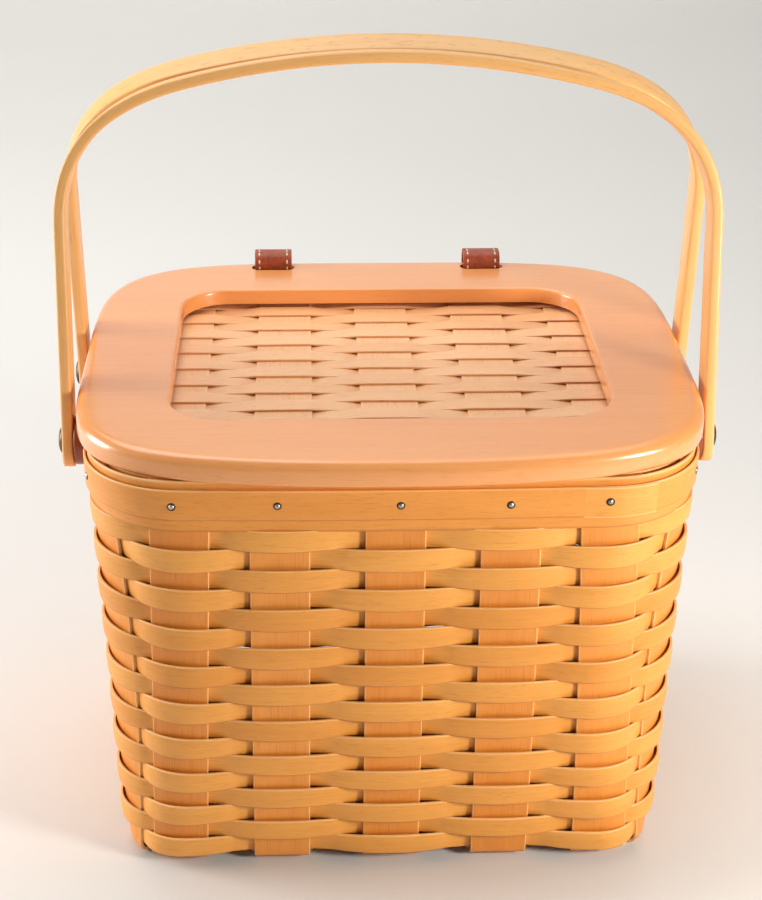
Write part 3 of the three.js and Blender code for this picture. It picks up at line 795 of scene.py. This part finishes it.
# lid frame
lid = {
    "centreY": -1.0703,
    "bottom": 204.9,
    "thickness": 11.1,
    "width": 274.4,
    "depth": 239.0,
    "squareness": 4.5,
    "front": (214.0, 5.5),  # depth and squareness of the front half, before its bow
    "frontBow": 16.6,
    "roundOver": 4.6,
    "lowerEase": 1.2,
    "opening": (192.0, 155.0, 23.0),
    "openingEase": 1.5,
    "recess": (214.8, 173.7, 2.0),
    "recessDepth": 3.85,
    "flatStart": 1.2,  # the flat top starts this far from its rounded edges
    "cornerCut": 0.6,  # from the recess's square corner to its rounded one, along each side
    "cutMargin": 5.0,
    "around": 256,
    "slotX": 52.8,
    "slot": (106.1, 113.7),
    "slotLength": 21.6,
}


def lidRays():  # directions round the lid, with the recess corners among them
    rays = []
    for k in range(lid["around"]):
        angle = (k + 0.5) / lid["around"] * 2 * math.pi - math.pi
        soft = [math.copysign(abs(value) ** 0.5, value) for value in (math.cos(angle), math.sin(angle))]
        rays.append(math.atan2(soft[1] * lid["depth"], soft[0] * lid["width"]))
    for signX, signY in ((1, 1), (-1, 1), (-1, -1), (1, -1)):
        halfX, halfY = (size / 2 - lid["cornerCut"] for size in lid["recess"][:2])
        corner = math.atan2(signY * halfY, signX * halfX)
        nearest = min(range(len(rays)), key=lambda k: abs(rays[k] - corner))
        rays[nearest] = corner
    return rays


def softEdge(ray, inset):  # where a ray meets the outline of the lid, before its front is bowed
    depth, power = lid["front"] if math.sin(ray) < 0 else (lid["depth"], lid["squareness"])
    a, b = lid["width"] / 2 - inset, depth / 2 - inset
    c, s = abs(math.cos(ray)) / a, abs(math.sin(ray)) / b
    return (c ** power + s ** power) ** (-1 / power)


def roundedEdge(ray, size, inset):  # where a ray meets a rounded rectangle
    width, depth, radius = size
    a, b, r = width / 2 - inset, depth / 2 - inset, max(radius - inset, 1.0)
    c, s = abs(math.cos(ray)), abs(math.sin(ray))
    reach = min(a / max(c, 1e-9), b / max(s, 1e-9))
    cx, cy = a - r, b - r
    if c * reach > cx and s * reach > cy:
        along = c * cx + s * cy
        reach = along + math.sqrt(max(along * along - cx * cx - cy * cy + r * r, 0))
    return reach


def lidProfile():  # outline, inset and height, from the outer foot over the top into the recess
    thick, over, ease, foot = lid["thickness"], lid["roundOver"], lid["openingEase"], lid["lowerEase"]
    found = []
    for step in range(4):
        angle = math.pi / 2 * step / 3
        found.append(("outer", foot * (1 - math.sin(angle)), foot * (1 - math.cos(angle))))
    for step in range(9):
        angle = math.pi / 2 * step / 8
        found.append(("outer", over * (1 - math.cos(angle)), thick - over * (1 - math.sin(angle))))
    found += [("outer", over + lid["flatStart"], thick), ("opening", -ease - lid["flatStart"], thick)]
    for step in range(5):
        angle = math.pi / 2 * step / 4
        found.append(("opening", -ease * (1 - math.sin(angle)), thick - ease * (1 - math.cos(angle))))
    found += [("opening", 0, lid["recessDepth"]), ("recess", 0, lid["recessDepth"]), ("recess", 0, 0)]
    return found


def lidFrameSheet():
    rays, profile = lidRays(), lidProfile()

    def place(i, j):
        ray = rays[i % len(rays)]
        outline, inset, z = profile[j % len(profile)]
        reach = softEdge(ray, inset) if outline == "outer" else roundedEdge(ray, lid[outline], inset)
        x, y = reach * math.cos(ray), reach * math.sin(ray)
        if outline == "outer" and y < 0:
            y -= lid["frontBow"] * max(1 - (2 * x / (lid["width"] - 2 * inset)) ** 2, 0)
        return Vector((x, y + lid["centreY"], z + lid["bottom"]))

    return stripSheet(len(rays), len(profile), place, 1000, 100, 71, True)


def slotCutter():
    front, back = lid["slot"]
    radius = (back - front) / 2
    half = lid["slotLength"] / 2 - radius
    bm = bmesh.new()
    for side in (-1, 1):
        ring = []
        for step in range(24):
            angle = math.pi * (step // 12 + (step % 12) / 11) - math.pi / 2
            shift = half if step < 12 else -half
            x = side * lid["slotX"] + shift + radius * math.cos(angle)
            y = (front + back) / 2 + radius * math.sin(angle) + lid["centreY"]
            ring.append(bm.verts.new(Vector((x, y, lid["bottom"] - lid["cutMargin"])) * mm))
        face = bm.faces.new(ring)
        raised = bmesh.ops.extrude_face_region(bm, geom=[face])["geom"]
        top = [item for item in raised if isinstance(item, bmesh.types.BMVert)]
        bmesh.ops.translate(bm, verts=top, vec=up * (lid["thickness"] + 2 * lid["cutMargin"]) * mm)
    bmesh.ops.recalc_face_normals(bm, faces=bm.faces)
    mesh = bpy.data.meshes.new("slotCutter")
    bm.to_mesh(mesh)
    bm.free()
    return bpy.data.objects.new("slotCutter", mesh)


def applied(piece):  # bakes a piece's modifiers into its mesh
    graph = bpy.context.evaluated_depsgraph_get()
    mesh = bpy.data.meshes.new_from_object(piece.evaluated_get(graph))
    piece.modifiers.clear()
    piece.data = mesh


lidFrame = keepPiece(lidFrameSheet(), "lidFrame", "lid", lidWood, ["lid_frame"])
cutter = slotCutter()
bpy.context.scene.collection.objects.link(cutter)
slots = lidFrame.modifiers.new("slots", "BOOLEAN")
slots.operation = "DIFFERENCE"
slots.object = cutter
slots.solver = "EXACT"
applied(lidFrame)
bpy.data.objects.remove(cutter)
lidFrame.data.set_sharp_from_angle(angle=math.radians(40))
print("lid frame cut,", len(lidFrame.data.polygons), "faces")


# woven panel of the lid
panel = {
    "stakes": 5,
    "stakePitch": 46.9,
    "rows": 18,
    "rowPitch": 9.55,
    "width": 213.0,
    "depth": 171.9,
    "middle": 205.85,
    "sway": 0.9,
    "thickness": 0.8,
    "stakeThickness": 0.9,
    "plateau": 12.4,  # half the length that lies flat on a stake
    "narrow": 4.75,  # half width in the gaps
    "swell": 0.9,
    "endHalf": 4.6,  # half width at the outer edge of the first and the last strip
    "slack": 0.35,  # under 1, a strip crosses the gap between two stakes more gently
    "crown": 0.06,
    "drift": 0.4,
    "grainWidth": 12.0,
    "stakeEase": 0.3,
    "stakeSteps": 12,
    "stepsPerGap": 20,
    "across": 4,
    "ease": 0.25,
}
panelStakes = [(k - (panel["stakes"] - 1) / 2) * panel["stakePitch"] for k in range(panel["stakes"])]


def panelSwing(x, row):  # 1 on top of a stake, -1 under it
    gone = min(max((x - panelStakes[0]) / panel["stakePitch"], 0), panel["stakes"] - 1 - 1e-6)
    k = math.floor(gone)
    flat = panel["plateau"] / panel["stakePitch"]
    swing = 1 - 2 * min(max((gone - k - flat) / (1 - 2 * flat), 0), 1)
    swing *= lerp(panel["slack"], 1, abs(swing))
    return swing * (1 if (row + k) % 2 == 1 else -1)


def panelRow(row):
    y = (row - (panel["rows"] - 1) / 2) * panel["rowPitch"] + lid["centreY"]
    start, stop = -panel["width"] / 2, panel["width"] / 2
    columns = panel["stepsPerGap"] * panel["stakes"]

    def place(i, j):
        x = lerp(start, stop, i / columns)
        swing = panelSwing(x, row)
        t = 2 * j / panel["across"] - 1
        isEnd = (row == 0 and t < 0) or (row == panel["rows"] - 1 and t > 0)
        half = panel["endHalf"] if isEnd else panel["narrow"] + panel["swell"] * abs(swing)
        uneven = wobble(row * 2.9, x * 0.013, 4.0)
        z = panel["middle"] + panel["sway"] * swing + panel["crown"] * (1 - t * t)
        return Vector((x, y + t * half + panel["drift"] * uneven, z))

    return stripSheet(columns, panel["across"], place, panel["width"], panel["grainWidth"], 80 + row)


for row in range(panel["rows"]):
    bm = panelRow(row)
    piece = keepPiece(bm, f"panelStrip{row + 1:02d}", "lid", panelSheenWood, ["lid_panel"])
    thicken(piece, panel["thickness"], panel["ease"])
for k, x in enumerate(panelStakes):
    ends = [Vector((x, side * panel["depth"] / 2 + lid["centreY"], panel["middle"])) for side in (-1, 1)]
    rows = []
    for step in range(panel["stakeSteps"] + 1):
        middle = ends[0].lerp(ends[1], step / panel["stakeSteps"])
        rows.append([middle + Vector((d, 0, 0)) for d in spread(wall["stakeWidth"])])
    look = (f"panelStake{k + 1}", "stake_wood", panelSheenWood, ["lid_panel"])
    make = (panel["stakeThickness"], panel["stakeEase"], 110 + k)
    ribbon(rows, wall["stakeWidth"], make, look, "lid")
print("lid panel woven")


# leather straps at the back
strap = {
    "thickness": 1.8,
    "width": 18.5,
    "x": 52.8,
    "front": 110.48,
    "topFront": 107.2,
    "back": 120.28,
    "bottom": 200.85,
    "top": 223.0,
    "topRadius": 4.5,
    "lowRadius": 2.2,
    "tabFoot": 187.0,
    "tabHead": 200.5,
    "tabY": 109.28,
    "tabLean": (-0.15, 0.05),  # at its foot and its head
    "tabSteps": 8,
    "tabStitches": 4,
    "loopLength": 60.0,
    "ease": 0.45,
    "stitchInset": 2.3,
    "stitchPitch": 3.3,
    "stitchLength": 2.6,
    "stitchWidth": 1.0,
    "stitchRaise": 0.05,
}


def strapPath():  # the middle of the leather, round the strip of lid behind the slot
    half = strap["thickness"] / 2
    front, back = strap["front"] + half, strap["back"] - half
    topFront = strap["topFront"] + half
    bottom, top = strap["bottom"] + half, strap["top"] - half
    corners = (
        (back, bottom, -0.5, strap["lowRadius"]),
        (back, top, 0.0, strap["topRadius"] - half),
        (topFront, top, 0.5, strap["topRadius"] - half),
        (front, bottom, 1.0, strap["lowRadius"]),
    )
    found = []
    for y, z, quarter, radius in corners:
        inY = y - math.copysign(radius, y - (front + back) / 2)
        inZ = z - math.copysign(radius, z - (bottom + top) / 2)
        for step in range(7):
            angle = math.pi * (quarter + 0.5 * step / 6)
            found.append((inY + radius * math.cos(angle), inZ + radius * math.sin(angle)))
    return found


def evenly(points, pitch):  # points at an even pitch along a closed line, with its direction
    ring = points + points[:1]
    total = sum(math.dist(a, b) for a, b in zip(ring, ring[1:]))
    count = round(total / pitch)
    found, gone = [], 0.0
    for a, b in zip(ring, ring[1:]):
        step = math.dist(a, b)
        while step and len(found) < count and len(found) * total / count <= gone + step:
            share = (len(found) * total / count - gone) / step
            place = (lerp(a[0], b[0], share), lerp(a[1], b[1], share))
            found.append((place, ((b[0] - a[0]) / step, (b[1] - a[1]) / step)))
        gone += step
    return found


def stitch(bm, spot, along, outward):
    knot = bmesh.ops.create_icosphere(bm, subdivisions=1, radius=mm)["verts"]
    side = along.cross(outward)
    aim = Matrix((along, side, outward)).transposed().to_4x4()
    sizes = (strap["stitchLength"] / 2, strap["stitchWidth"] / 2, strap["stitchWidth"] / 2)
    shape = Matrix.Diagonal((*sizes, 1))
    bmesh.ops.transform(bm, matrix=Matrix.Translation(spot * mm) @ aim @ shape, verts=knot)


def hingeLoop(side, sign):
    path = strapPath()

    def place(i, j):
        y, z = path[i % len(path)]
        return Vector((sign * strap["x"] + strap["width"] * (0.5 - j / 4), y, z))

    bm = stripSheet(len(path), 4, place, strap["loopLength"], strap["width"], 130 + sign, True)
    bmesh.ops.recalc_face_normals(bm, faces=bm.faces)
    loop = keepPiece(bm, f"strapLoop_{side}", "lid", strapLeather, [f"hinge_loop_{side}"])
    thicken(loop, strap["thickness"], strap["ease"], 3)
    raised = strap["thickness"] / 2 + strap["stitchRaise"]
    bm = bmesh.new()
    for (y, z), (dy, dz) in evenly(path, strap["stitchPitch"]):
        along, outward = Vector((0, dy, dz)), Vector((0, dz, -dy))
        for edge in (-1, 1):
            x = sign * strap["x"] + edge * (strap["width"] / 2 - strap["stitchInset"])
            stitch(bm, Vector((x, y, z)) + outward * raised, along, outward)
    keepPiece(bm, f"loopStitches_{side}", "lid", strapThread)


def hingeTab(side, sign):
    footY, headY = (strap["tabY"] + lean for lean in strap["tabLean"])
    foot = Vector((sign * strap["x"], footY, strap["tabFoot"]))
    head = Vector((sign * strap["x"], headY, strap["tabHead"]))
    rows = []
    for step in range(strap["tabSteps"] + 1):
        middle = foot.lerp(head, step / strap["tabSteps"])
        rows.append([middle - Vector((d, 0, 0)) for d in spread(strap["width"])])
    look = (f"strapTail_{side}", "leather", strapLeather, [f"hinge_tab_{side}"])
    ribbon(rows, strap["width"], (strap["thickness"], strap["ease"], 140 + sign), look)
    bm = bmesh.new()
    rise = (head - foot).normalized()
    outward = Vector((0, 1, 0))
    for step in range(strap["tabStitches"]):
        middle = foot.lerp(head, (step + 0.5) / strap["tabStitches"])
        for edge in (-1, 1):
            shift = Vector((edge * (strap["width"] / 2 - strap["stitchInset"]), 0, 0))
            stitch(bm, middle + shift + outward * (strap["thickness"] / 2), rise, outward)
    keepPiece(bm, f"tailStitches_{side}", "basket", strapThread)


for side, sign in (("left", -1), ("right", 1)):
    hingeLoop(side, sign)
    hingeTab(side, sign)
print("straps sewn")


# swing handles
handle = {
    "width": 17.0,
    "thickness": 5.0,
    "ease": 1.2,
    "halfSpan": 141.97,
    "reach": 167.2,
    "tail": 3.5,
    "bow": 11.0,
    "cornerRun": 54.0,
    "cornerDrop": 70.0,
    "spread": 39.0,
    "meetingGap": 0.4,
    "pivotZ": 190.5,
    "archSteps": 28,
    "legSteps": 14,
    "tailSteps": 10,
    "grainLength": 640.0,
    "grainWidth": 44.0,
}


def quadratic(a, b, c, steps):
    found = []
    for step in range(steps):
        t = step / steps
        weights = ((1 - t) ** 2, 2 * t * (1 - t), t * t)
        found.append(tuple(sum(w * p[axis] for w, p in zip(weights, (a, b, c))) for axis in (0, 1)))
    return found


def handleStations():  # x, z and half width along the bent strip, from the left tail to the right
    half, end = handle["halfSpan"], handle["width"] / 2
    shoulder = half - handle["cornerRun"]
    slope = 2 * handle["bow"] / shoulder
    shoulderZ = handle["reach"] - handle["bow"]
    cornerZ = shoulderZ - slope * handle["cornerRun"]
    legTop = handle["reach"] - handle["cornerDrop"]
    tail = []
    for step in range(handle["tailSteps"]):
        share = math.cos(math.pi / 2 * (step + 0.35) / handle["tailSteps"])
        tail.append((-half, -handle["tail"] - share * end, math.sqrt(1 - share * share) * end))
    leg = []
    for k in range(handle["legSteps"]):
        leg.append((-half, lerp(-handle["tail"], legTop, k / handle["legSteps"]), end))
    steps = handle["archSteps"]
    left, right = (-shoulder, shoulderZ), (shoulder, shoulderZ)
    arch = quadratic((-half, legTop), (-half, cornerZ), left, steps)
    top = quadratic(left, (0, handle["reach"] + handle["bow"]), right, 2 * steps)
    leftHalf = tail + leg + [(x, z, end) for x, z in arch] + [(x, z, end) for x, z in top[:steps]]
    return leftHalf + [(0.0, handle["reach"], end)] + [(-x, z, h) for x, z, h in leftHalf[::-1]]


def handleSection(half):  # rounded rectangle across the strip: (across, out) points, anticlockwise
    thick = handle["thickness"] / 2
    radius = min(handle["ease"], half * 0.6)
    found = []
    for x, z, quarter in ((half, thick, 0), (-half, thick, 0.5), (-half, -thick, 1), (half, -thick, 1.5)):
        inX, inZ = x - math.copysign(radius, x), z - math.copysign(radius, z)
        for step in range(4):
            angle = math.pi * (quarter + 0.5 * step / 3)
            found.append((inX + radius * math.cos(angle), inZ + radius * math.sin(angle)))
    return found


def handleLean():
    lean = 0.0
    for _ in range(8):
        meet = handle["width"] / 2 * math.cos(lean) + handle["thickness"] / 2 * math.sin(lean)
        lean = math.asin((handle["spread"] - meet - handle["meetingGap"] / 2) / handle["reach"])
    return lean


def handleSheet(sideY, seed):
    stations = handleStations()
    pivot = Vector((0, wall["centreY"] + sideY * handle["spread"], handle["pivotZ"]))
    tilted = Matrix.Rotation(sideY * handleLean(), 3, "X")
    sections = [handleSection(station[2]) for station in stations]
    count = len(sections[0])

    def place(i, j):
        x, z, _ = stations[i]
        before, after = stations[max(i - 1, 0)], stations[min(i + 1, len(stations) - 1)]
        along = Vector((after[0] - before[0], 0, after[1] - before[1])).normalized()
        outward = Vector((-along.z, 0, along.x))
        across, out = sections[i][j % count]
        return pivot + tilted @ (Vector((x, across, z)) + outward * out)

    grainSize = (handle["grainLength"], handle["grainWidth"])
    bm = stripSheet(len(stations) - 1, count, place, *grainSize, seed, True)
    rimEdges = [edge for edge in bm.edges if edge.is_boundary]
    bmesh.ops.holes_fill(bm, edges=rimEdges)
    bmesh.ops.recalc_face_normals(bm, faces=bm.faces)
    return bm


for name, sideY, seed in (("front_handle", -1, 151), ("back_handle", 1, 152)):
    keepPiece(handleSheet(sideY, seed), f"bentHandle_{name[:-7]}", name, handleWood, [name])
print("handles bent")


# discs and rivets at the pivots
pivots = {
    "discRadius": 11.0,
    "discEase": 0.9,
    "headFace": 144.82,
    "headRadius": 6.0,
    "headHeight": 1.8,
    "shank": 2.4,
    "tailFace": 125.5,
    "tailRadius": 5.0,
    "tailHeight": 1.2,
    "tailEase": (0.5, 0.2),  # at its end and where it meets the rim
    "sides": 40,
}


def pivotDisc(node, sideX):
    low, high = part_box(node)
    middle = (low + high) / 2
    inner, outer = (low.x, high.x) if sideX > 0 else (high.x, low.x)
    bm = bmesh.new()
    discSet = {"radius1": pivots["discRadius"] * mm, "radius2": pivots["discRadius"] * mm}
    bmesh.ops.create_cone(bm, cap_ends=True, segments=pivots["sides"], depth=abs(outer - inner), **discSet)
    rims = [edge for edge in bm.edges if abs(edge.verts[0].co.z - edge.verts[1].co.z) < 1e-6]
    bevelSet = {"affect": "EDGES", "segments": 3, "profile": 0.5, "material": -1}
    bmesh.ops.bevel(bm, geom=rims, offset=pivots["discEase"] * mm, offset_type="OFFSET", **bevelSet)
    aim = Matrix.Rotation(math.radians(90 * sideX), 4, "Y")
    spot = Matrix.Translation(((inner + outer) / 2, middle.y, middle.z))
    bmesh.ops.transform(bm, matrix=spot @ aim, verts=bm.verts)
    return bm


def pivotRivet(node, sideX):
    low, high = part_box(node)
    middle = (low + high) / 2
    tail, head, shank = pivots["tailFace"], pivots["headFace"], pivots["shank"]
    tailRadius, headRadius = pivots["tailRadius"], pivots["headRadius"]
    endEase, rimEase = pivots["tailEase"]
    profile = [
        (0, tail - pivots["tailHeight"]),
        (tailRadius - endEase, tail - pivots["tailHeight"]),
        (tailRadius, tail - pivots["tailHeight"] / 2),
        (tailRadius - rimEase, tail),
        (shank, tail),
        (shank, head),
        (headRadius, head),
    ]
    for step in range(1, 7):
        angle = math.pi / 2 * step / 6
        profile.append((headRadius * math.cos(angle), head + pivots["headHeight"] * math.sin(angle)))
    bm = bmesh.new()
    line = []
    for radius, along in profile:
        spot = Vector((sideX * along, middle.y / mm + max(radius, 0.0), middle.z / mm))
        line.append(bm.verts.new(spot * mm))
    edges = [bm.edges.new(pair) for pair in zip(line, line[1:])]
    spinSet = {"angle": 2 * math.pi, "steps": 28, "use_merge": True, "axis": (1, 0, 0)}
    bmesh.ops.spin(bm, geom=line + edges, cent=(0, middle.y, middle.z), **spinSet)
    bmesh.ops.remove_doubles(bm, verts=bm.verts, dist=1e-6)
    bmesh.ops.recalc_face_normals(bm, faces=bm.faces)
    return bm


def keepPivot(bm, name, finish, node):
    piece = keepPiece(bm, name, "basket", finish, [node])
    piece.data.set_sharp_from_angle(angle=math.radians(40))


for end in ("front", "back"):
    for side, sign in (("left", -1), ("right", 1)):
        node = f"spacer_{end}_{side}"
        keepPivot(pivotDisc(node, sign), f"pivotDisc_{end}_{side}", spacerWood, node)
        node = f"rivet_{end}_{side}"
        keepPivot(pivotRivet(node, sign), f"pivotRivet_{end}_{side}", rivetMetal, node)
print("pivots riveted")


# floor, backdrop and light
stageSet = {
    "half": 3.0,
    "front": -2.4,
    "turn": 1.5,
    "radius": 0.8,
    "top": 2.6,
    "paper": tint(225, 222, 218),
    "paperMottle": tint(220, 217, 212),
}


def paperSweep():
    bm = bmesh.new()
    start = bm.verts.new((-stageSet["half"], stageSet["front"], 0))
    line = [start, bm.verts.new((-stageSet["half"], stageSet["turn"], 0))]
    edges = [bm.edges.new(line)]
    for step in range(1, 13):
        angle = math.pi / 2 * step / 12
        y = stageSet["turn"] + stageSet["radius"] * math.sin(angle)
        z = stageSet["radius"] * (1 - math.cos(angle))
        line.append(bm.verts.new((-stageSet["half"], y, z)))
        edges.append(bm.edges.new(line[-2:]))
    line.append(bm.verts.new((-stageSet["half"], stageSet["turn"] + stageSet["radius"], stageSet["top"])))
    edges.append(bm.edges.new(line[-2:]))
    made = bmesh.ops.extrude_edge_only(bm, edges=edges)["geom"]
    moved = [item for item in made if isinstance(item, bmesh.types.BMVert)]
    bmesh.ops.translate(bm, verts=moved, vec=(2 * stageSet["half"], 0, 0))
    bmesh.ops.recalc_face_normals(bm, faces=bm.faces)
    mesh = bpy.data.meshes.new("paperSweep")
    bm.to_mesh(mesh)
    bm.free()
    mesh.shade_smooth()
    return mesh


def paperFinish():
    recipe = Recipe("paperBackdrop")
    place = recipe.node("ShaderNodeTexCoord", {}, {}, "Object")
    # the paper is a touch darker in broad soft patches
    paperMottle = recipe.speckle(place, 2.0, 0.5, 3.0)
    colour = recipe.blend(paperMottle, stageSet["paper"], stageSet["paperMottle"])
    return recipe.finish({"Base Color": colour, "Roughness": 0.8})


sweepMesh = paperSweep()
sweepMesh.materials.append(paperFinish())
sweep = bpy.data.objects.new("paperSweep", sweepMesh)
bpy.context.scene.collection.objects.link(sweep)

lampTints = {"keyRight": (1.0, 0.97, 0.91)}  # the other lamps are white
skySet = {"colour": (1.0, 0.985, 0.96, 1), "strength": 0.16}
lamps = {
    "keyRight": {"place": (0.52, -0.42, 0.3), "aim": (0.05, -0.08, 0.14), "size": 0.14, "power": 4.0},
    "fillLeft": {"place": (-1.6, 0.22, 0.5), "aim": (-0.1, 0.0, 0.15), "size": 0.8, "power": 27.0},
    "topSoft": {"place": (-0.15, 0.8, 1.7), "aim": (-0.15, 0.8, 0.0), "size": 2.0, "power": 22.0},
    "topLeft": {"place": (-0.5, 0.25, 1.5), "aim": (-0.2, 0.15, 0.0), "size": 0.9, "power": 4.0},
    "backWash": {"place": (-0.3, 1.2, 1.5), "aim": (-0.3, 2.3, 1.4), "size": 0.6, "power": 6.8},
}
for name, lamp in lamps.items():
    data = bpy.data.lights.new(name, "AREA")
    data.shape = "SQUARE"
    data.size = lamp["size"]
    data.energy = lamp["power"]
    data.color = lampTints.get(name, (1.0, 1.0, 1.0))
    light = bpy.data.objects.new(name, data)
    light.location = lamp["place"]
    light.rotation_mode = "QUATERNION"
    light.rotation_quaternion = (Vector(lamp["aim"]) - Vector(lamp["place"])).to_track_quat("-Z", "Y")
    bpy.context.scene.collection.objects.link(light)

world = bpy.data.worlds.new("studio")
world.use_nodes = True
sky = world.node_tree.nodes["Background"]
sky.inputs["Color"].default_value = skySet["colour"]
sky.inputs["Strength"].default_value = skySet["strength"]
bpy.context.scene.world = world
print("stage lit")
